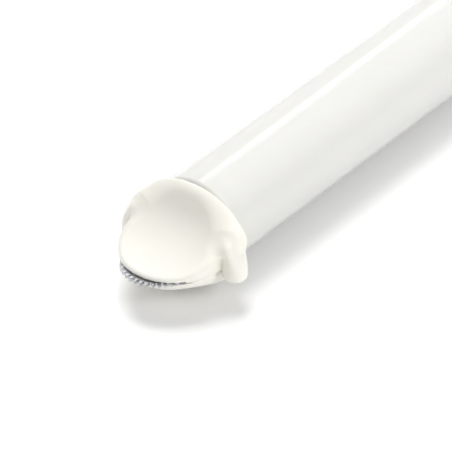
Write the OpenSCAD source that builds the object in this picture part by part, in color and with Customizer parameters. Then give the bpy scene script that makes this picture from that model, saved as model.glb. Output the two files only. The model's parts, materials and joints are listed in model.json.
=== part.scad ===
// Pen-style tailor's chalk liner: a powder pen with a serrated marking wheel in a duck-bill head.
// +X points out of the nose, +Y is to the side and +Z is up. The pen lies on its posted cap.
// Distances called "back" are measured from the wheel's axle towards the rear of the pen.

/* [Barrel] */
// Outer diameter of the barrel
barrel_od = 10; // [10:0.1:10.4]
// Wall thickness of the barrel
barrel_wall = 1; // [0.8:0.1:1]
// Length of the barrel
barrel_len = 122; // [121:1:140]
// Depth of the end plug inside the barrel
plug_depth = 7; // [4:0.5:10]

/* [Head] */
// Width of the head across its collar, without the ears
head_w = 12.9; // [12.5:0.1:14]
// Width of the bill
bill_w = 10.8; // [10.8:0.1:12.5]
// Height of the head above the barrel's axis
head_top = 4.8; // [4.6:0.1:5.4]
// Depth of the head below the barrel's axis
head_bottom = 5.8; // [5.5:0.1:5.8]
// How far the head's shoulder sits behind the wheel's axle
shoulder_back = 5.8; // [5.6:0.1:6.5]
// How far the bill reaches in front of the wheel's axle
nose_reach = 3; // [2.6:0.1:3.2]
// Height of the bill's upper face below the barrel's axis
bill_top = 0.95; // [0.9:0.05:1]
// Height of the bill's lower edge below the barrel's axis
bill_bottom = 2.45; // [2.4:0.05:2.8]
// How far the scoop reaches back from the nose
scoop_len = 7.95; // [7.8:0.05:8.1]
// Radius of the snap ears on the head's sides
ear_r = 1.25; // [1.1:0.05:1.35]
// How far the bill's upper lip overhangs the cover below the wheel
lip_overhang = 0.5; // [0.3:0.05:0.6]

/* [Neck and feed] */
// Length of the neck that plugs into the barrel
neck_len = 4.5; // [4:0.1:6]
// Outer radius of the feed tube
feed_r = 2.9; // [2.6:0.1:3]
// Bore radius of the feed tube
feed_bore_r = 1.6; // [1.2:0.1:1.8]
// How far the feed tube ends behind the wheel's axle
feed_end_back = 16.5; // [14:0.5:18]

/* [Wheel] */
// Diameter of the marking wheel over its teeth
wheel_d = 7.5; // [7:0.1:7.6]
// Number of teeth on the marking wheel
tooth_count = 36; // [24:1:48]
// Depth of the teeth
tooth_depth = 0.5; // [0.3:0.05:0.6]
// Thickness of the marking wheel
wheel_t = 0.35; // [0.3:0.05:0.4]
// Height of the wheel's plane below the barrel's axis
wheel_drop = 1.65; // [1.6:0.05:1.7]
// Radius of the axle pin
axle_r = 0.5; // [0.4:0.05:0.6]

/* [Cartridge] */
// Outer radius of the powder cartridge
cartridge_r = 3.85; // [3.7:0.05:3.85]
// Wall thickness of the powder cartridge
cartridge_wall = 0.55; // [0.4:0.05:0.6]
// Length of the powder cartridge
cartridge_len = 101; // [95:1:101]
// Length of the chalk fill
fill_len = 84; // [20:1:84]

/* [Cap] */
// Half width of the cap's mouth inside
cap_half_w = 7.65; // [7.6:0.05:8]
// Half height of the cap's mouth inside
cap_half_h = 5.9; // [5.85:0.05:6.2]
// Wall thickness of the cap
cap_wall = 0.8; // [0.8:0.1:1]
// Length of the cap
cap_len = 26.5; // [24:0.5:30]
// Length of the narrow bore that grips the barrel
grip_len = 9.6; // [8:0.1:10]

/* [Hidden] */
$fn = 64;

cream = [0.95, 0.945, 0.91];
milky = [0.9, 0.9, 0.88, 0.6];
steel = [0.62, 0.63, 0.65];
chalk = [0.97, 0.97, 0.95];
clear_white = [0.93, 0.93, 0.92, 0.7];
dark_rubber = [0.55, 0.55, 0.54];

slip = 0.03;                 // radial clearance of a push or running fit
seat_gap = 0.1;              // axial gap between the shoulder and the barrel
end_gap = 0.3;               // gap between the barrel's end and the cap's floor
cut = 0.5;                   // how far a cutting body runs past what it cuts

barrel_r = barrel_od / 2;
bore_r = barrel_r - barrel_wall;
barrel_front = shoulder_back + seat_gap;
barrel_back = barrel_front + barrel_len;
plug_flange = 2;
pen_back = barrel_back + plug_flange;
cap_floor_t = 1.2;
cap_back = pen_back + end_gap + cap_floor_t;
cap_mouth = cap_back - cap_len;
wheel_r = wheel_d / 2;
wheel_x = (cap_back - wheel_r) / 2;
cap_bore_r = barrel_r + slip;
axis_z = cap_bore_r + cap_wall;
cap_rise = cap_half_h - cap_bore_r; // lifts the cap's centre, so that its underside is level with the head's

head_half_w = head_w / 2;
arch_drop = 0.9;             // the head's section is widest this far below the barrel's axis
bill_r = bill_w / 2;
bill_centre = nose_reach - bill_r;
scoop_front = nose_reach + 0.1;
scoop_depth = 5.95;
scoop_power = 2.2;           // 2 would make the scoop an ellipse, and more makes its back wall steeper
collar_t = 0.85;             // thickness of the collar behind the cover
underside_back = 4.5;        // where the sloped underside meets the level bottom
ear_x = -4.1;
ear_y = 6.2;
ear_top = 1.8;
ear_ramp_foot = 1.4;         // the ramp's outer end, below the barrel's axis
ear_ramp = 1.9;              // height gained for each unit inwards
ear_bottom = 2.7;
keel_r = 8;                  // the sloped underside is rounded from side to side
keel_slope = atan((head_bottom - bill_bottom) / (nose_reach + underside_back));
collar_front = 4.4;          // how far the wider collar's front lies behind the axle
ear_gap = 0.05;
slot_r = wheel_r + 0.4;
slot_half = 0.28;
recess_r = 1.7;
recess_half = 0.5;
hub_r = 1.3;
hub_t = 0.8;
hub_bore_r = axle_r + slip;
axle_bottom = 3.2;
axle_top = 1.05;
neck_r = bore_r - slip;
neck_end = shoulder_back + neck_len;
seal_back = 8;
seal_r = 0.3;
seal_groove_half = 0.45;
seal_ring_r = neck_r - seal_r + 0.01;
seal_groove_r = seal_ring_r - seal_r - 0.02;
feed_front = 5.3;
channel_front = 3.6;
channel_r = 1;
channel_drop = 0.8;
cartridge_front = neck_end + 0.5;
cartridge_back = cartridge_front + cartridge_len;
socket_end = feed_end_back + 0.4;
cartridge_bore = cartridge_r - cartridge_wall;
cartridge_plug_in = 4;
cartridge_flange = 1;

// Places children in the head's own frame: the origin is on the barrel's axis beside the wheel's axle.
module at_wheel() {
    translate([wheel_x, 0, axis_z]) children();
}

// A solid rod along the pen, from one distance back to another.
module rod(front, back, r) {
    at_wheel() translate([-back, 0, 0]) rotate([0, 90, 0]) cylinder(r = r, h = back - front);
}

// A 2D profile, drawn as [radius, distance back], turned about the barrel's axis.
module turned() {
    at_wheel() rotate([0, -90, 0]) rotate_extrude() children();
}

// The rounded cross-section of the head, drawn as [side, height]. It is a little fuller than an ellipse.
section_power = 2.2;
section_steps = 72;
function full(x) = sign(x) * pow(abs(x), 2 / section_power);
function section_half_h(a) = sin(a) > 0 ? head_top + arch_drop : head_bottom + 0.1 - arch_drop;
function section_point(a) = [head_half_w * full(cos(a)), section_half_h(a) * full(sin(a)) - arch_drop];

// One point of the scoop's side profile, a rounded corner between a steep wall and a level shelf.
function scoop_point(a) = [
    scoop_front - scoop_len * pow(cos(a), 2 / scoop_power),
    scoop_depth - bill_top - scoop_depth * pow(sin(a), 2 / scoop_power)];
scoop_steps = 24;

// The head seen from above, without its ears.
module head_plan() {
    translate([bill_centre, 0]) circle(r = bill_r);
    translate([-shoulder_back, -bill_r]) square([shoulder_back + bill_centre, bill_w]);
    translate([-shoulder_back, -head_half_w]) square([shoulder_back - collar_front, head_w]);
}

// The head seen from the side, with the scoop above and the level bottom below.
module head_side() {
    scoop = [for (i = [0 : scoop_steps]) scoop_point(90 * i / scoop_steps)];
    front = nose_reach + cut;
    polygon(concat(
        [[-shoulder_back, head_top + cut], [scoop_front - scoop_len, head_top + cut]],
        scoop,
        [[front, -bill_top], [front, -head_bottom], [-shoulder_back, -head_bottom]]));
}

// The side view as a solid as wide as the whole head.
module head_profile() {
    rotate([90, 0, 0]) translate([0, 0, -head_w]) linear_extrude(2 * head_w) head_side();
}

// A big cylinder whose underside is the bill's sloped and rounded bottom.
module keel() {
    translate([nose_reach, 0, -bill_bottom]) rotate([0, 90 - keel_slope, 0])
        translate([-keel_r, 0, -2 * head_w]) cylinder(r = keel_r, h = 3 * head_w);
}

// The head's outside without its ears, before it is split into a body and a cover.
module head_envelope() {
    intersection() {
        translate([0, 0, -head_w]) linear_extrude(2 * head_w) head_plan();
        rotate([90, 0, 90]) translate([0, 0, -shoulder_back]) linear_extrude(2 * head_w)
            polygon([for (i = [0 : section_steps - 1]) section_point(360 * i / section_steps)]);
        head_profile();
        keel();
    }
}

// The space below the parting plane that the cover fills.
module cover_space(gap) {
    translate([-shoulder_back + collar_t - gap, -head_w, -head_w - wheel_drop])
        cube([3 * head_w, 2 * head_w, head_w]);
}

// The cover's outline from above. It is set in from the lip.
module cover_plan() {
    r = bill_r - lip_overhang;
    translate([bill_centre, 0]) circle(r = r);
    translate([-shoulder_back, -r]) square([shoulder_back + bill_centre, 2 * r]);
}

// The ears that stand beside the bill, with tops that ramp down outwards and meet the scoop's edge.
module ears(extra) {
    outer = ear_y + ear_r + extra;
    foot = -ear_ramp_foot;
    for (side = [0, 1]) mirror([0, side, 0]) intersection() {
        translate([ear_x, ear_y, -ear_bottom - extra])
            cylinder(r = ear_r + extra, h = ear_bottom + extra + ear_top);
        rotate([90, 0, 90]) translate([0, 0, -head_w]) linear_extrude(head_w) polygon([
            [0, -head_w], [outer, -head_w], [outer, foot],
            [outer - (ear_top - foot) / ear_ramp, ear_top], [0, ear_top]]);
        head_profile();
    }
}

// The flat slot that the wheel turns in, with a deeper recess for its hub.
module wheel_slot() {
    translate([0, 0, -wheel_drop - slot_half]) cylinder(r = slot_r, h = 2 * slot_half);
    translate([0, 0, -wheel_drop - recess_half]) cylinder(r = recess_r, h = 2 * recess_half);
}

// The main moulding: scoop, ears, collar and neck in one.
module head_body() {
    color(cream) difference() {
        union() {
            at_wheel() difference() {
                head_envelope();
                cover_space(slip);
            }
            at_wheel() ears(0);
            rod(shoulder_back - cut, neck_end, neck_r);
        }
        at_wheel() wheel_slot();
        at_wheel() translate([0, 0, -axle_top - cut]) cylinder(r = axle_r + 0.01, h = cut + 0.01);
        rod(feed_front - 0.01, neck_end + cut, feed_r + 0.01);
        translate([0, 0, -channel_drop]) rod(channel_front, feed_front, channel_r);
        turned() translate([seal_groove_r, seal_back - seal_groove_half])
            square([neck_r, 2 * seal_groove_half]);
    }
}

// The lower half of the bill, which snaps in between the ears and carries the axle.
module head_cover() {
    color(cream) at_wheel() difference() {
        intersection() {
            head_envelope();
            cover_space(0);
            translate([0, 0, -head_w]) linear_extrude(head_w) cover_plan();
        }
        ears(ear_gap);
        wheel_slot();
        translate([0, 0, -axle_bottom - 0.01]) cylinder(r = axle_r + 0.01, h = axle_bottom);
    }
}

// The tube that leads powder from the cartridge into the head.
module feed_tube() {
    round_r = 0.6;
    color(cream) turned() difference() {
        union() {
            translate([0, feed_front]) square([feed_r, feed_end_back - round_r - feed_front]);
            translate([0, feed_front]) square([feed_r - round_r, feed_end_back - feed_front]);
            translate([feed_r - round_r, feed_end_back - round_r]) circle(r = round_r);
        }
        translate([-cut, feed_front - cut]) square([feed_bore_r + cut, feed_end_back]);
    }
}

// The sealing ring on the neck.
module neck_seal() {
    color(dark_rubber) turned() translate([seal_ring_r, seal_back]) circle(r = seal_r);
}

// The toothed steel disc.
module marking_wheel() {
    root_r = wheel_r - tooth_depth;
    pitch = 360 / tooth_count;
    rim = [for (i = [0 : tooth_count - 1]) for (half = [0, 1])
        let (r = half == 0 ? wheel_r : root_r, a = pitch * (i + half / 2)) [r * cos(a), r * sin(a)]];
    color(steel) at_wheel() translate([0, 0, -wheel_drop - wheel_t / 2]) difference() {
        linear_extrude(wheel_t) polygon(rim);
        translate([0, 0, -cut]) cylinder(r = hub_r, h = wheel_t + 2 * cut);
    }
}

// The plastic hub that the disc is moulded on.
module wheel_hub() {
    color(chalk) at_wheel() translate([0, 0, -wheel_drop - hub_t / 2]) difference() {
        cylinder(r = hub_r, h = hub_t);
        translate([0, 0, -cut]) cylinder(r = hub_bore_r, h = hub_t + 2 * cut);
    }
}

// The steel pin that the hub turns on.
module wheel_axle() {
    color(steel) at_wheel() translate([0, 0, -axle_bottom]) cylinder(r = axle_r, h = axle_bottom - axle_top);
}

// The translucent outer tube.
module barrel_tube() {
    color(milky) difference() {
        rod(barrel_front, barrel_back, barrel_r);
        rod(barrel_front - cut, barrel_back + cut, bore_r);
    }
}

// The stopper pressed into the barrel's rear.
module barrel_end_plug() {
    round_r = 0.8;
    color(cream) {
        turned() {
            translate([0, barrel_back]) square([barrel_r, plug_flange - round_r]);
            translate([0, barrel_back]) square([barrel_r - round_r, plug_flange]);
            intersection() {
                translate([barrel_r - round_r, barrel_back + plug_flange - round_r]) circle(r = round_r);
                translate([0, barrel_back]) square([barrel_r, plug_flange]);
            }
        }
        rod(barrel_back - plug_depth, barrel_back, bore_r - 0.01);
    }
}

// The refill's thin tube, with a socket at its front that fits over the feed tube.
module cartridge_tube() {
    color(clear_white) difference() {
        rod(cartridge_front, cartridge_back, cartridge_r);
        rod(cartridge_front - cut, cartridge_back, feed_r + slip + 0.02);
        rod(socket_end, cartridge_back + cut, cartridge_bore);
    }
}

// The stopper in the cartridge's rear.
module cartridge_plug() {
    color(cream) {
        rod(cartridge_back - cartridge_plug_in, cartridge_back, cartridge_bore - 0.01);
        rod(cartridge_back, cartridge_back + cartridge_flange, cartridge_r);
    }
}

// The chalk that fills the cartridge.
module chalk_powder() {
    color(chalk) rod(socket_end + 0.02, socket_end + fill_len, cartridge_bore - 0.02);
}

// A stadium cross-section, flat above and below and round at the sides.
module stadium(half_w, half_h) {
    flat = half_w - half_h;
    for (side = [-1, 1]) translate([0, side * flat]) circle(r = half_h);
    translate([-half_h, -flat]) square([2 * half_h, 2 * flat]);
}

// A straight prism with the cap's section, between two distances back.
module cap_rod(front, back, half_w, half_h) {
    at_wheel() translate([-back, 0, cap_rise]) rotate([0, 90, 0]) linear_extrude(back - front)
        stadium(half_w, half_h);
}

// The cap, posted on the rear of the barrel. Turned half round, its off-centre mouth fits over the head.
module cap_shell() {
    outer_w = cap_half_w + cap_wall;
    outer_h = cap_half_h + cap_wall;
    end_r = cap_bore_r + cap_wall;
    narrow = cap_back - cap_floor_t - grip_len;
    color(clear_white) difference() {
        union() {
            cap_rod(cap_mouth, narrow, outer_w, outer_h);
            hull() {
                cap_rod(narrow - 0.01, narrow, outer_w, outer_h);
                rod(cap_back - 1, cap_back - 0.99, end_r);
                rod(cap_back - 0.01, cap_back, end_r - 1);
            }
        }
        cap_rod(cap_mouth - cut, narrow, cap_half_w, cap_half_h);
        rod(narrow - cut, cap_back - cap_floor_t, cap_bore_r);
    }
}

head_body();
head_cover();
feed_tube();
neck_seal();
marking_wheel();
wheel_hub();
wheel_axle();
barrel_tube();
barrel_end_plug();
cartridge_tube();
cartridge_plug();
chalk_powder();
cap_shell();
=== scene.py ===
"""Looks of a pen-style tailor's chalk liner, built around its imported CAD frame."""
import json
import math

import bmesh
import bpy
import numpy as np
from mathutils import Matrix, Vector


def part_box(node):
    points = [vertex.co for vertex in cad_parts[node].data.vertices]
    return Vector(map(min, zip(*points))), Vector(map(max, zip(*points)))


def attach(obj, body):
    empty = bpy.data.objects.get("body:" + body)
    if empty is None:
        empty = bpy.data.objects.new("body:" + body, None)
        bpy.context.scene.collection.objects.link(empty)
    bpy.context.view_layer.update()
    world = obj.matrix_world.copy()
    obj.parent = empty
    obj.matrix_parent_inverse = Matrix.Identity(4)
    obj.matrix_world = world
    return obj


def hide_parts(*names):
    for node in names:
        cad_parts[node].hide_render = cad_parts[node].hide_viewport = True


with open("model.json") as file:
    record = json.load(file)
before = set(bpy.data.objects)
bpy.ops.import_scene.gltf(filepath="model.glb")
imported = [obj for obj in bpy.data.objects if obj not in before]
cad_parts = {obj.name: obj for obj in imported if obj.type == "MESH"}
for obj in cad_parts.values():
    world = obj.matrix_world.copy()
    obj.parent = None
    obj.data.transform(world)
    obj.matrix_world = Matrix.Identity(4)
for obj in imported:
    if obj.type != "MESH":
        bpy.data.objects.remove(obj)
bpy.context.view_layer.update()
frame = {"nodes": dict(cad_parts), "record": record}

MM = 0.001


# ---------------------------------------------------------------- places taken from the frame

def middle(node):
    """The centre of a CAD node's box."""
    low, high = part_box(node)
    return (low + high) / 2


def back_span(node):
    """How far a node's front and rear lie behind the wheel's axle, in mm."""
    low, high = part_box(node)
    return (WHEEL_X - high.x) / MM, (WHEEL_X - low.x) / MM


WHEEL_X = middle("marking_wheel").x
WHEEL_Z = middle("marking_wheel").z
AXIS_Z = middle("barrel_tube").z
WHEEL_DROP = (AXIS_Z - WHEEL_Z) / MM
WHEEL_R = (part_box("marking_wheel")[1].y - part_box("marking_wheel")[0].y) / 2 / MM
BARREL_R = (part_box("barrel_tube")[1].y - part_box("barrel_tube")[0].y) / 2 / MM
EAR_OVERHANG = 1.0  # how far the ears stand out of the head's sides
HEAD_HALF_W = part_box("head_body")[1].y / MM - EAR_OVERHANG
HEAD_TOP = (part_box("head_body")[1].z - AXIS_Z) / MM
HEAD_BOTTOM = (AXIS_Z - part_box("head_body")[0].z) / MM
NOSE = (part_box("head_body")[1].x - WHEEL_X) / MM
BARREL_FRONT, BARREL_BACK = back_span("barrel_tube")
SHOULDER = BARREL_FRONT - 0.1  # the back of the head's collar, with a small gap to the barrel


# ---------------------------------------------------------------- camera

def make_camera():
    """A long lens, looking down over the nose, with the barrel running off to the upper right."""
    azimuth, elevation = math.radians(127.8), math.radians(35)
    aim = Vector((WHEEL_X - 7.33 * MM, 2.6 * MM, AXIS_Z))
    view_width = 43.9 * MM
    data = bpy.data.cameras.new("camera")
    data.sensor_width = 36
    data.lens = 450
    distance = view_width / 2 * data.lens / (data.sensor_width / 2)
    back = Vector((
        math.sin(azimuth) * math.cos(elevation),
        -math.cos(azimuth) * math.cos(elevation),
        math.sin(elevation)))
    camera = bpy.data.objects.new("camera", data)
    camera.location = aim + back * distance
    camera.rotation_euler = back.to_track_quat("Z", "Y").to_euler()
    data.clip_start, data.clip_end = distance * 0.01, distance * 100
    bpy.context.scene.collection.objects.link(camera)
    bpy.context.scene.camera = camera


# ---------------------------------------------------------------- materials

def new_material(name, **values):
    """A Principled material with the given socket values, and its node tree for further wiring."""
    material = bpy.data.materials.new(name)
    material.use_nodes = True
    shader = material.node_tree.nodes["Principled BSDF"]
    for socket, value in values.items():
        shader.inputs[socket.replace("_", " ")].default_value = value
    return material, material.node_tree, shader


def add_noise(tree, scale, detail=3.0, stretch=(1, 1, 1)):
    """Noise in the object's own coordinates, with features 1/scale metres across."""
    coords = tree.nodes.new("ShaderNodeTexCoord")
    mapping = tree.nodes.new("ShaderNodeMapping")
    mapping.inputs["Scale"].default_value = stretch
    noise = tree.nodes.new("ShaderNodeTexNoise")
    noise.inputs["Scale"].default_value = scale
    noise.inputs["Detail"].default_value = detail
    tree.links.new(coords.outputs["Object"], mapping.inputs["Vector"])
    tree.links.new(mapping.outputs["Vector"], noise.inputs["Vector"])
    return noise


def add_bump(tree, shader, noise, distance, strength=0.3):
    """Bump from a noise, with its full height in metres."""
    bump = tree.nodes.new("ShaderNodeBump")
    bump.inputs["Strength"].default_value = strength
    bump.inputs["Distance"].default_value = distance
    tree.links.new(noise.outputs["Fac"], bump.inputs["Height"])
    tree.links.new(bump.outputs["Normal"], shader.inputs["Normal"])


def add_tint(tree, shader, noise, low, high):
    """Colour that drifts between two values with a noise."""
    ramp = tree.nodes.new("ShaderNodeValToRGB")
    ramp.color_ramp.elements[0].position = 0.35
    ramp.color_ramp.elements[1].position = 0.65
    ramp.color_ramp.elements[0].color = (*low, 1)
    ramp.color_ramp.elements[1].color = (*high, 1)
    tree.links.new(noise.outputs["Fac"], ramp.inputs["Fac"])
    tree.links.new(ramp.outputs["Color"], shader.inputs["Base Color"])


def moulded_plastic(name, low, high, roughness, alpha=1.0):
    """Glossy moulded plastic: faint colour drift, soft glow and the slight waviness of a moulding."""
    material, tree, shader = new_material(
        name, Roughness=roughness, IOR=1.49, Subsurface_Weight=0.25,
        Subsurface_Radius=(1.0, 0.9, 0.7), Subsurface_Scale=1.2 * MM, Alpha=alpha)
    add_tint(tree, shader, add_noise(tree, 90), low, high)
    add_bump(tree, shader, add_noise(tree, 900, 2), 0.02 * MM, 0.15)
    return material


def sheet_steel():
    """Bright stamped steel with fine grinding marks."""
    material, tree, shader = new_material("sheet_steel", Metallic=1.0, Roughness=0.3)
    grain = add_noise(tree, 2500, 4, (1, 0.15, 1))
    add_tint(tree, shader, grain, (0.42, 0.43, 0.45), (0.62, 0.63, 0.66))
    add_bump(tree, shader, grain, 0.01 * MM, 0.4)
    return material


def chalk_dust():
    """Dry white powder with small lumps."""
    material, tree, shader = new_material("chalk_dust", Roughness=0.95)
    grain = add_noise(tree, 4000, 6)
    add_tint(tree, shader, grain, (0.86, 0.86, 0.84), (0.93, 0.93, 0.92))
    add_bump(tree, shader, grain, 0.1 * MM, 0.8)
    return material


def soft_rubber():
    """Satin grey seal rubber."""
    material, tree, shader = new_material("soft_rubber", Roughness=0.55)
    add_tint(tree, shader, add_noise(tree, 300), (0.55, 0.55, 0.53), (0.62, 0.62, 0.6))
    add_bump(tree, shader, add_noise(tree, 3000), 0.01 * MM)
    return material


CREAM = moulded_plastic("cream_plastic", (0.85, 0.835, 0.765), (0.87, 0.855, 0.785), 0.25)
MILKY = moulded_plastic("milky_plastic", (0.92, 0.915, 0.88), (0.94, 0.935, 0.9), 0.15, alpha=0.62)
CLEAR = moulded_plastic("clear_plastic", (0.93, 0.93, 0.91), (0.95, 0.95, 0.93), 0.2, alpha=0.4)
STEEL = sheet_steel()
CHALK = chalk_dust()
RUBBER = soft_rubber()

SLOT_OF = {"cream_plastic": CREAM, "milky_plastic": MILKY, "clear_plastic": CLEAR,
           "steel": STEEL, "chalk": CHALK, "seal_rubber": RUBBER}


# ---------------------------------------------------------------- mesh helpers

def add_piece(name, vertices, faces, slot, body, node):
    """A mesh from points in mm about the barrel's axis at the wheel, standing for one CAD node."""
    points = np.asarray(vertices, float) * MM + np.array([WHEEL_X, 0, AXIS_Z])
    mesh = bpy.data.meshes.new(name)
    mesh.from_pydata(points.tolist(), [], [list(map(int, f)) for f in faces])
    mesh.validate()
    mesh.materials.append(SLOT_OF[slot])
    piece = bpy.data.objects.new(name, mesh)
    bpy.context.scene.collection.objects.link(piece)
    mesh.shade_smooth()
    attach(piece, body)
    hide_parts(node)
    return piece


def sharpen(piece, degrees=40):
    """Keeps edges sharper than an angle crisp under smooth shading."""
    piece.data.set_sharp_from_angle(angle=math.radians(degrees))


def arc(cx, cy, r, start, end, steps=6):
    """Points along an arc, angles in degrees."""
    return [(cx + r * math.cos(math.radians(start + (end - start) * i / steps)),
             cy + r * math.sin(math.radians(start + (end - start) * i / steps)))
            for i in range(steps + 1)]


def lathe(profile, segments):
    """Turns a closed profile of (distance back, radius) about the barrel's axis."""
    vertices, faces, rings = [], [], []
    for back, r in profile:
        if r == 0:
            rings.append([len(vertices)])
            vertices.append((-back, 0, 0))
            continue
        rings.append(list(range(len(vertices), len(vertices) + segments)))
        for i in range(segments):
            a = 2 * math.pi * i / segments
            vertices.append((-back, r * math.cos(a), r * math.sin(a)))
    closed = len(rings[0]) > 1 and len(rings[-1]) > 1
    pairs = list(zip(rings, rings[1:])) + ([(rings[-1], rings[0])] if closed else [])
    for a, b in pairs:
        for i in range(segments):
            j = (i + 1) % segments
            if len(a) == 1:
                faces.append((a[0], b[j], b[i]))
            elif len(b) == 1:
                faces.append((a[i], a[j], b[0]))
            else:
                faces.append((a[i], a[j], b[j], b[i]))
    return vertices, faces


def fix_normals(piece):
    """Turns every face outwards."""
    work = bmesh.new()
    work.from_mesh(piece.data)
    bmesh.ops.recalc_face_normals(work, faces=work.faces)
    work.to_mesh(piece.data)
    work.free()


# ---------------------------------------------------------------- solids drawn as distance fields

def rounded_and(a, b, r):
    """The overlap of two solids, with its edge rounded to radius r."""
    return np.minimum(-r, np.maximum(a, b)) + np.hypot(np.maximum(a + r, 0), np.maximum(b + r, 0))


def rounded_or(a, b, r):
    """The union of two solids, with a fillet of radius r."""
    return np.maximum(r, np.minimum(a, b)) - np.hypot(np.maximum(r - a, 0), np.maximum(r - b, 0))


def surface_net(field, low, high, step):
    """A quad mesh of the surface where field(x, y, z) is 0, with its points pulled exactly onto it."""
    axes = [np.arange(low[i], high[i] + step, step) for i in range(3)]
    grid = np.meshgrid(*axes, indexing="ij")
    values = field(*grid)
    inside = values < 0
    shape = np.array(values.shape) - 1
    corners = [(i, j, k) for i in (0, 1) for j in (0, 1) for k in (0, 1)]

    def corner(array, c):
        return array[tuple(slice(c[i], c[i] + shape[i]) for i in range(3))]

    filled = sum(corner(inside, c).astype(np.int8) for c in corners)
    cells = np.argwhere((filled > 0) & (filled < 8))
    number = -np.ones(shape, np.int64)
    number[tuple(cells.T)] = np.arange(len(cells))
    total = np.zeros((len(cells), 3))
    count = np.zeros(len(cells))
    for a in corners:
        for axis in range(3):
            if a[axis]:
                continue
            b = tuple(a[i] + (i == axis) for i in range(3))
            va = values[tuple((cells + a).T)]
            vb = values[tuple((cells + b).T)]
            crossed = (va < 0) != (vb < 0)
            t = np.where(crossed, va / np.where(crossed, va - vb, 1), 0)
            point = np.array(a, float) + t[:, None] * (np.array(b) - np.array(a))
            total += np.where(crossed[:, None], point, 0)
            count += crossed
    points = (cells + total / count[:, None]) * step + np.array(low)
    points = pull_onto(field, points, step)
    quads = []
    for axis in range(3):
        u, v = [(1, 2), (2, 0), (0, 1)][axis]
        first = inside[tuple(slice(0, shape[i]) for i in range(3))]
        ahead = inside[tuple(slice(int(i == axis), shape[i] + int(i == axis)) for i in range(3))]
        edges = np.argwhere(first != ahead)
        edges = edges[(edges[:, u] > 0) & (edges[:, v] > 0)]
        du, dv = np.eye(3, dtype=int)[u], np.eye(3, dtype=int)[v]
        around = ((0, 0), (1, 0), (1, 1), (0, 1))
        quad = np.stack([number[tuple((edges - s * du - t * dv).T)] for s, t in around], 1)
        flip = ~first[tuple(edges.T)]
        quad[flip] = quad[flip][:, ::-1]
        quads.append(quad)
    return points, np.concatenate(quads)


def pull_onto(field, points, step):
    """Moves points along the field's slope until they lie on its surface."""
    start = points.copy()
    d = step * 0.05
    for _ in range(4):
        value = field(*points.T)
        slope = np.stack([(field(*(points + d * e).T) - field(*(points - d * e).T)) / (2 * d)
                          for e in np.eye(3)], 1)
        size = np.maximum((slope ** 2).sum(1), 0.05)
        points = points - (value / size)[:, None] * slope
        points = np.clip(points, start - step, start + step)
    return points


# ---------------------------------------------------------------- head

# All in mm. Heights are measured from the barrel's axis, and u runs forward from the wheel's axle.
ARCH_DROP = 0.9         # how far below the barrel's axis the section is widest
BILL_TOP = 0.95         # depth of the lip's upper face below the axis
BILL_BOTTOM = 2.45      # depth of the underside at the nose
BILL_R = 5.4            # the bill's outline at the nose, seen from above
COLLAR_FRONT = 4.4      # how far behind the axle the collar begins
SECTION_POWER = 2.2     # 2 would make the section an ellipse
UNDERSIDE_BACK = 4.5    # where the underside's slope ends
UNDERSIDE_ROUND = 0.1   # the section reaches this far below the flat underside
SCOOP_LENGTH = 7.95
SCOOP_DEPTH = 5.95
SCOOP_POWER = 2.2
SCOOP_SWEEP = 1.5       # how far the scoop's sides come forward
SCOOP_SWEEP_POWER = 2.5
RIM_R = 0.4             # rounding of the scoop's rim at the lip
KEEL_R = 8.0            # the bill's rounded belly
EAR_X, EAR_Y, EAR_R = -4.1, 6.2, 1.25
EAR_TOP, EAR_BOTTOM = 1.4, -2.7
EAR_RAMP_FOOT, EAR_RAMP = -1.4, 1.9
EAR_GAP = 0.05          # clearance between an ear and the cover
COLLAR_WALL = 0.85      # the collar's thickness behind the cover
COVER_R = 4.9
COVER_GAP = 0.03        # clearance between the cover and the head
SEAM_R = 0.08           # rounding of the edges along the seam
SLOT_HALF = 0.28
SLOT_R = WHEEL_R + 0.4
RECESS_HALF = 0.5       # recess for the hub
RECESS_R = 1.7
NECK_R = 3.97
NECK_LENGTH = 4.5
SHOULDER_R = 0.25
FEED_FRONT, FEED_R = 5.3, 2.91
CHANNEL_FRONT, CHANNEL_BACK, CHANNEL_R, CHANNEL_DROP = 3.6, 5.5, 1.0, 0.8
SEAL_BACK, SEAL_HALF, SEAL_FLOOR_R = 8.0, 0.45, 3.36


def plan_distance(u, w):
    """Distance from the head's outline, seen from above: a round bill in front of a wider collar."""
    bill = np.hypot(np.maximum(u - NOSE + BILL_R, 0), w) - BILL_R
    collar = np.maximum(np.abs(w) - HEAD_HALF_W, u + COLLAR_FRONT)
    return rounded_or(bill, collar, 0.8)


def section_distance(w, v):
    """Distance from the head's rounded cross-section."""
    height = v + ARCH_DROP
    bottom = HEAD_BOTTOM + UNDERSIDE_ROUND
    half_h = np.where(height > 0, HEAD_TOP + ARCH_DROP, bottom - ARCH_DROP)
    p, q = np.abs(w) / HEAD_HALF_W + 1e-6, np.abs(height) / half_h + 1e-6
    g = (p ** SECTION_POWER + q ** SECTION_POWER) ** (1 / SECTION_POWER)
    across = (p / g) ** (SECTION_POWER - 1) / HEAD_HALF_W
    slope = np.hypot(across, (q / g) ** (SECTION_POWER - 1) / half_h)
    return (g - 1) / slope


def scoop_distance(u, w, v):
    """Distance into the scoop, which is shallower towards its sides: below 0 in the hollow."""
    u = u - SCOOP_SWEEP * np.abs(w / HEAD_HALF_W) ** SCOOP_SWEEP_POWER
    p = np.maximum((NOSE + 0.1 - u) / SCOOP_LENGTH, 1e-4)
    q = np.maximum((SCOOP_DEPTH - BILL_TOP - v) / SCOOP_DEPTH, 1e-4)
    g = (p ** SCOOP_POWER + q ** SCOOP_POWER) ** (1 / SCOOP_POWER)
    along = (p / g) ** (SCOOP_POWER - 1) / SCOOP_LENGTH
    slope = np.hypot(along, (q / g) ** (SCOOP_POWER - 1) / SCOOP_DEPTH)
    return (g - 1) / slope


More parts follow.
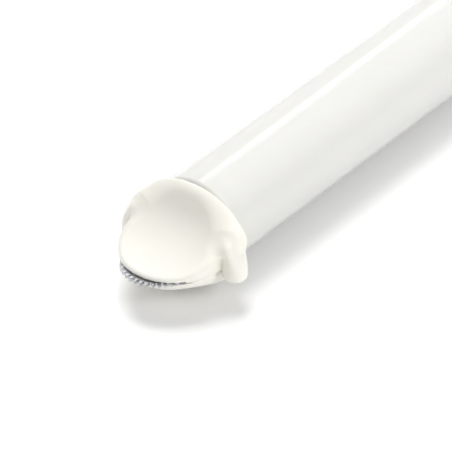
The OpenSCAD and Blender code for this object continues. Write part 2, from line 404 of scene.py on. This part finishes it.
def smooth_step(x, low, high):
    """Rises smoothly from 0 at low to 1 at high."""
    t = np.clip((x - low) / (high - low), 0, 1)
    return t * t * (3 - 2 * t)


def keel_distance(u, w, v):
    """Distance from the big tilted cylinder whose underside is the bill's sloped bottom."""
    slope = math.atan2(HEAD_BOTTOM - BILL_BOTTOM, NOSE + UNDERSIDE_BACK)
    height = (v + BILL_BOTTOM) * math.cos(slope) - (u - NOSE) * math.sin(slope)
    return np.hypot(w, height - KEEL_R) - KEEL_R


def outside_distance(u, w, v):
    """Distance from the head's outside, without its scoop and ears."""
    solid = rounded_and(section_distance(w, v), plan_distance(u, w), 0.3)
    under = rounded_and(keel_distance(u, w, v), -HEAD_BOTTOM - v, 1.5)
    return rounded_and(solid, under, 1.0)


def cut_scoop(solid, u, w, v):
    """Takes the scoop out of a solid, with a rim that is roundest at the upper sides."""
    rim = RIM_R + smooth_step(v, -0.8, 1.5) * (0.6 + smooth_step(np.abs(w), 1.0, 4.5))
    return rounded_and(solid, -scoop_distance(u, w, v), rim)


def ear_distance(u, w, v, extra=0.0):
    """The two ears, upright and round, whose tops ramp down outwards."""
    side = np.hypot(u - EAR_X, np.abs(w) - EAR_Y) - EAR_R - extra
    ramp = v - EAR_RAMP_FOOT - EAR_RAMP * (EAR_Y + EAR_R - np.abs(w))
    top = rounded_and(ramp / math.hypot(1, EAR_RAMP), v - EAR_TOP, 0.4)
    return rounded_and(side, np.maximum(top, EAR_BOTTOM - v) - extra, 0.4)


def slot_distance(u, w, v):
    """The wheel's slot, with a deeper recess for its hub."""
    height = np.abs(v + WHEEL_DROP)
    slot = np.maximum(np.hypot(u, w) - SLOT_R, height - SLOT_HALF)
    return np.minimum(slot, np.maximum(np.hypot(u, w) - RECESS_R, height - RECESS_HALF))


def rod_distance(u, w, v, front, back, r):
    """A round rod on the barrel's axis."""
    return np.maximum(np.hypot(w, v) - r, np.maximum(-u - back, front + u))


def cover_room(u, v, gap):
    """The space below the parting plane, in front of the collar."""
    return np.maximum(v + WHEEL_DROP - gap, -SHOULDER + COLLAR_WALL - gap - u)


def head_body_distance(u, w, v):
    """Distance from the head's main moulding, with its neck, refill socket, channel and seal groove."""
    ear_fillet = 0.2 + 1.5 * smooth_step(v, -0.8, 1.3)
    solid = rounded_and(outside_distance(u, w, v), -cover_room(u, v, COVER_GAP), SEAM_R)
    solid = rounded_or(solid, ear_distance(u, w, v), ear_fillet)
    solid = cut_scoop(solid, u, w, v)
    solid = rounded_and(solid, -SHOULDER - u, SHOULDER_R)
    neck_back = SHOULDER + NECK_LENGTH
    neck_ends = np.maximum(-u - neck_back, SHOULDER - 0.5 + u)
    solid = np.minimum(solid, rounded_and(np.hypot(w, v) - NECK_R, neck_ends, 0.3))
    socket = rod_distance(u, w, v, FEED_FRONT, neck_back + 1, FEED_R)
    channel = rod_distance(u, w, v + CHANNEL_DROP, CHANNEL_FRONT, CHANNEL_BACK, CHANNEL_R)
    groove = np.maximum(SEAL_FLOOR_R - np.hypot(w, v), np.abs(-u - SEAL_BACK) - SEAL_HALF)
    for hollow in (slot_distance(u, w, v), socket, channel, groove):
        solid = np.maximum(solid, -hollow)
    return solid


def head_cover_distance(u, w, v):
    """Distance from the cover, which fills the space under the parting plane between the ears."""
    plan = np.hypot(np.maximum(u - NOSE + BILL_R, 0), w) - COVER_R
    solid = rounded_and(outside_distance(u, w, v), plan, 0.3)
    solid = rounded_and(solid, cover_room(u, v, 0), SEAM_R)
    solid = rounded_and(solid, -ear_distance(u, w, v, EAR_GAP), SEAM_R)
    return np.maximum(solid, -slot_distance(u, w, v))


def make_head():
    step, margin = 0.12, 0.4
    reach = HEAD_HALF_W + 1.3
    for name, field, back, top in (("head_body", head_body_distance, -10.8, HEAD_TOP + margin),
                                   ("head_cover", head_cover_distance, -5.8, 0.0)):
        low = (back, -reach, -HEAD_BOTTOM - margin)
        high = (NOSE + margin, reach, top)
        points, quads = surface_net(field, low, high, step)
        sharpen(add_piece(name + "_moulding", points, quads, "cream_plastic", "head", name))


# ---------------------------------------------------------------- marking wheel

def make_wheel():
    """Thin disc with pointed teeth, bevelled where the stamping rolls over."""
    teeth, depth, half, bevel, hole = 36, 0.5, 0.175, 0.05, 1.3
    root = WHEEL_R - depth
    tip_share, root_share = 0.16, 0.22  # of one pitch
    pitch = 2 * math.pi / teeth
    outline = []
    for i in range(teeth):
        for share, r in ((-0.5 + root_share / 2, root), (-tip_share / 2, WHEEL_R),
                         (tip_share / 2, WHEEL_R), (0.5 - root_share / 2, root)):
            a = pitch * (i + share)
            outline.append((r * math.cos(a), r * math.sin(a)))
    inner = [(hole * math.cos(a), hole * math.sin(a))
             for a in np.arctan2([p[1] for p in outline], [p[0] for p in outline])]
    shrink = []
    for x, y in outline:
        scale = 1 - bevel / math.hypot(x, y)
        shrink.append((x * scale, y * scale))
    mid = [(x * 0.8, y * 0.8) for x, y in shrink]
    loops = [(inner, half), (mid, half), (shrink, half), (outline, half - bevel),
             (outline, bevel - half), (shrink, -half), (mid, -half), (inner, -half)]
    n = len(outline)
    vertices = [(x, y, z - WHEEL_DROP) for loop, z in loops for x, y in loop]
    faces = []
    for k in range(len(loops)):
        a, b = k * n, (k + 1) % len(loops) * n
        faces += [(a + i, b + i, b + (i + 1) % n, a + (i + 1) % n) for i in range(n)]
    piece = add_piece("wheel_disc", vertices, faces, "steel", "wheel", "marking_wheel")
    fix_normals(piece)
    sharpen(piece, 25)


# ---------------------------------------------------------------- turned pieces

def tube_profile(front, back, outer, inner, r):
    """A plain tube with rounded rims."""
    return (arc(front + r, outer - r, r, 180, 90) + arc(back - r, outer - r, r, 90, 0)
            + arc(back - r, inner + r, r, 0, -90) + arc(front + r, inner + r, r, 270, 180))


def add_turned(name, profile, slot, body, node, segments=128):
    """A piece turned about the barrel's axis."""
    vertices, faces = lathe(profile, segments)
    piece = add_piece(name, vertices, faces, slot, body, node)
    fix_normals(piece)
    sharpen(piece)


def make_turned():
    """The barrel, the feed tube, the barrel's stopper and the refill."""
    barrel_wall, rim = 1, 0.3
    profile = tube_profile(BARREL_FRONT, BARREL_BACK, BARREL_R, BARREL_R - barrel_wall, rim)
    add_turned("barrel_shell", profile, "milky_plastic", "barrel", "barrel_tube", 160)

    front, back = back_span("feed_tube")
    outer, bore_r, nose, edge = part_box("feed_tube")[1].y / MM, 1.6, 0.6, 0.2
    profile = (arc(front + 0.1, outer - 0.1, 0.1, 180, 90) + arc(back - nose, outer - nose, nose, 90, 0)
               + arc(back - edge, bore_r + edge, edge, 0, -90) + [(front, bore_r)])
    add_turned("feed_spout", profile, "cream_plastic", "head", "feed_tube")

    front, back = back_span("barrel_end_plug")
    fit_r, dome, lead_in = BARREL_R - 1.01, 0.8, 0.4
    dimple_r, dimple_depth, chamfer = 2.6, 0.25, 0.3
    profile = ([(front, 0)] + arc(front + lead_in, fit_r - lead_in, lead_in, 180, 90)
               + [(BARREL_BACK, fit_r), (BARREL_BACK, BARREL_R - 0.1), (BARREL_BACK + 0.1, BARREL_R)]
               + arc(back - dome, BARREL_R - dome, dome, 90, 0, 8)
               + [(back, dimple_r), (back - dimple_depth, dimple_r - chamfer), (back - dimple_depth, 0)])
    add_turned("end_stopper", profile, "cream_plastic", "barrel", "barrel_end_plug")

    front, back = back_span("cartridge_tube")
    outer, bore_r, mouth_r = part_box("cartridge_tube")[1].y / MM, 3.3, 2.95
    step_front, step_back = 16.5, 16.9  # where the narrow mouth widens to the bore
    profile = (arc(front + 0.4, outer - 0.4, 0.4, 180, 90) + arc(back - 0.1, outer - 0.1, 0.1, 90, 0)
               + [(back, bore_r), (step_back, bore_r), (step_front, mouth_r), (front, mouth_r)])
    add_turned("refill_tube", profile, "clear_plastic", "cartridge", "cartridge_tube")


# ---------------------------------------------------------------- cap

RING_POINTS = 96


def stadium_ring(half_w, half_h, back, rise):
    """Points around a section that is flat above and below and round at the sides."""
    flat = half_w - half_h
    ring = []
    for i in range(RING_POINTS):
        a = 2 * math.pi * (i + 0.5) / RING_POINTS
        y, z = half_h * math.cos(a), half_h * math.sin(a)
        ring.append((-back, y + math.copysign(flat, y), z + rise))
    return ring


def make_cap():
    """The cap as rings from its deep inside, out over the mouth and back to its closed end."""
    mouth, end = back_span("cap_shell")
    low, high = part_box("cap_shell")
    half_w, half_h = high.y / MM, (high.z - low.z) / 2 / MM
    rise = ((high.z + low.z) / 2 - AXIS_Z) / MM
    wall, end_wall, grip, nose = 0.8, 1.2, 9.6, 1.4
    bore = BARREL_R + 0.03
    end_r = bore + wall
    narrow = end - end_wall - grip  # where the bore opens into the wide mouth
    inner_w, inner_h = half_w - wall, half_h - wall
    tiny_w, tiny_h = 0.02, 0.01  # the ring that closes each end
    throat_w, throat_h, throat_up = bore + 0.25, bore + 0.1, 0.1
    lip = wall / 2
    rings = []

    def ring(w, h, back, up=rise):
        rings.append(stadium_ring(w, h, back, up))

    ring(tiny_w, tiny_h, end - end_wall, 0)
    ring(bore, bore, end - end_wall, 0)
    ring(bore, bore, narrow + 0.5, 0)
    ring(throat_w, throat_h, narrow, throat_up)
    steps = 10
    for i in range(1, steps + 1):
        t = i / steps
        ease = min(1, t * 2.5)
        ease = ease * ease * (3 - 2 * ease)
        ring(throat_w + (inner_w - throat_w) * ease, throat_h + (inner_h - throat_h) * ease,
             narrow + (mouth + lip - narrow) * t, throat_up + (rise - throat_up) * ease)
    for a in range(0, 181, 20):
        c = math.cos(math.radians(a))
        ring(half_w - lip - lip * c, half_h - lip - lip * c, mouth + lip - lip * math.sin(math.radians(a)))
    steps = 6
    for i in range(1, steps + 1):
        ring(half_w, half_h, mouth + lip + (narrow - mouth - lip) * i / steps)
    steps = 16
    for i in range(1, steps + 1):
        t = i / steps
        ease = t * t * (3 - 2 * t)
        ring(half_w + (end_r - half_w) * ease, half_h + (end_r - half_h) * ease,
             narrow + (end - nose - narrow) * t, rise * (1 - ease))
    for a in range(10, 91, 10):
        s, c = math.sin(math.radians(a)), math.cos(math.radians(a))
        ring(end_r - nose + nose * c, end_r - nose + nose * c, end - nose + nose * s, 0)
    ring(end_r * 0.4, end_r * 0.4, end, 0)
    ring(tiny_w, tiny_h, end, 0)
    vertices = [point for points in rings for point in points]
    faces = []
    for k in range(len(rings) - 1):
        a, b = k * RING_POINTS, (k + 1) * RING_POINTS
        faces += [(a + i, a + (i + 1) % RING_POINTS, b + (i + 1) % RING_POINTS, b + i)
                  for i in range(RING_POINTS)]
    faces.append(tuple(range(RING_POINTS)))
    faces.append(tuple(range(len(vertices) - RING_POINTS, len(vertices)))[::-1])
    piece = add_piece("cap_moulding", vertices, faces, "milky_plastic", "cap", "cap_shell")
    fix_normals(piece)
    sharpen(piece)


# ---------------------------------------------------------------- pieces kept from the CAD

def dress_cad_nodes():
    """The small inner pieces keep their CAD shape and get their finish."""
    slots = {s["node"]: s["material_slot"] for s in frame["record"]["subparts"]}
    for name, node in frame["nodes"].items():
        for place in node.material_slots:
            place.material = SLOT_OF[slots[name]]


# ---------------------------------------------------------------- studio

def add_area(name, direction, distance, width, height, power, glossy=True):
    """A soft box that faces the head from a direction; one that isn't glossy leaves no reflection."""
    data = bpy.data.lights.new(name, "AREA")
    data.shape = "RECTANGLE"
    data.size, data.size_y = width, height
    data.energy = power
    light = bpy.data.objects.new(name, data)
    light.visible_glossy = glossy
    target = Vector((WHEEL_X - 0.02, 0, AXIS_Z))
    away = Vector(direction).normalized()
    light.location = target + away * distance
    light.rotation_euler = away.to_track_quat("Z", "Y").to_euler()
    bpy.context.scene.collection.objects.link(light)


def make_studio():
    """A pale floor, a pale world and three soft lights."""
    half = 4.0
    corners = [(-half, -half, 0), (half, -half, 0), (half, half, 0), (-half, half, 0)]
    mesh = bpy.data.meshes.new("floor")
    mesh.from_pydata(corners, [], [(0, 1, 2, 3)])
    floor = bpy.data.objects.new("floor", mesh)
    bpy.context.scene.collection.objects.link(floor)
    material, tree, shader = new_material("pale_floor", Roughness=0.9)
    add_tint(tree, shader, add_noise(tree, 6), (0.94, 0.94, 0.94), (0.95, 0.95, 0.95))
    mesh.materials.append(material)
    world = bpy.data.worlds.new("studio")
    world.use_nodes = True
    sky = world.node_tree.nodes["Background"]
    sky.inputs["Color"].default_value = (1, 1, 1, 1)
    sky.inputs["Strength"].default_value = 0.5
    bpy.context.scene.world = world
    bpy.context.scene.view_settings.view_transform = "Standard"
    add_area("top", (-0.2, -0.3, 1.0), 0.7, 0.35, 0.35, 3.1, False)
    add_area("strip", (-0.647, -0.458, 0.612), 0.8, 0.1, 0.5, 0.6)
    add_area("fill", (-0.1, 1.0, 0.6), 0.8, 0.35, 0.35, 2.4, False)


make_camera()
make_head()
make_wheel()
make_turned()
make_cap()
dress_cad_nodes()
make_studio()
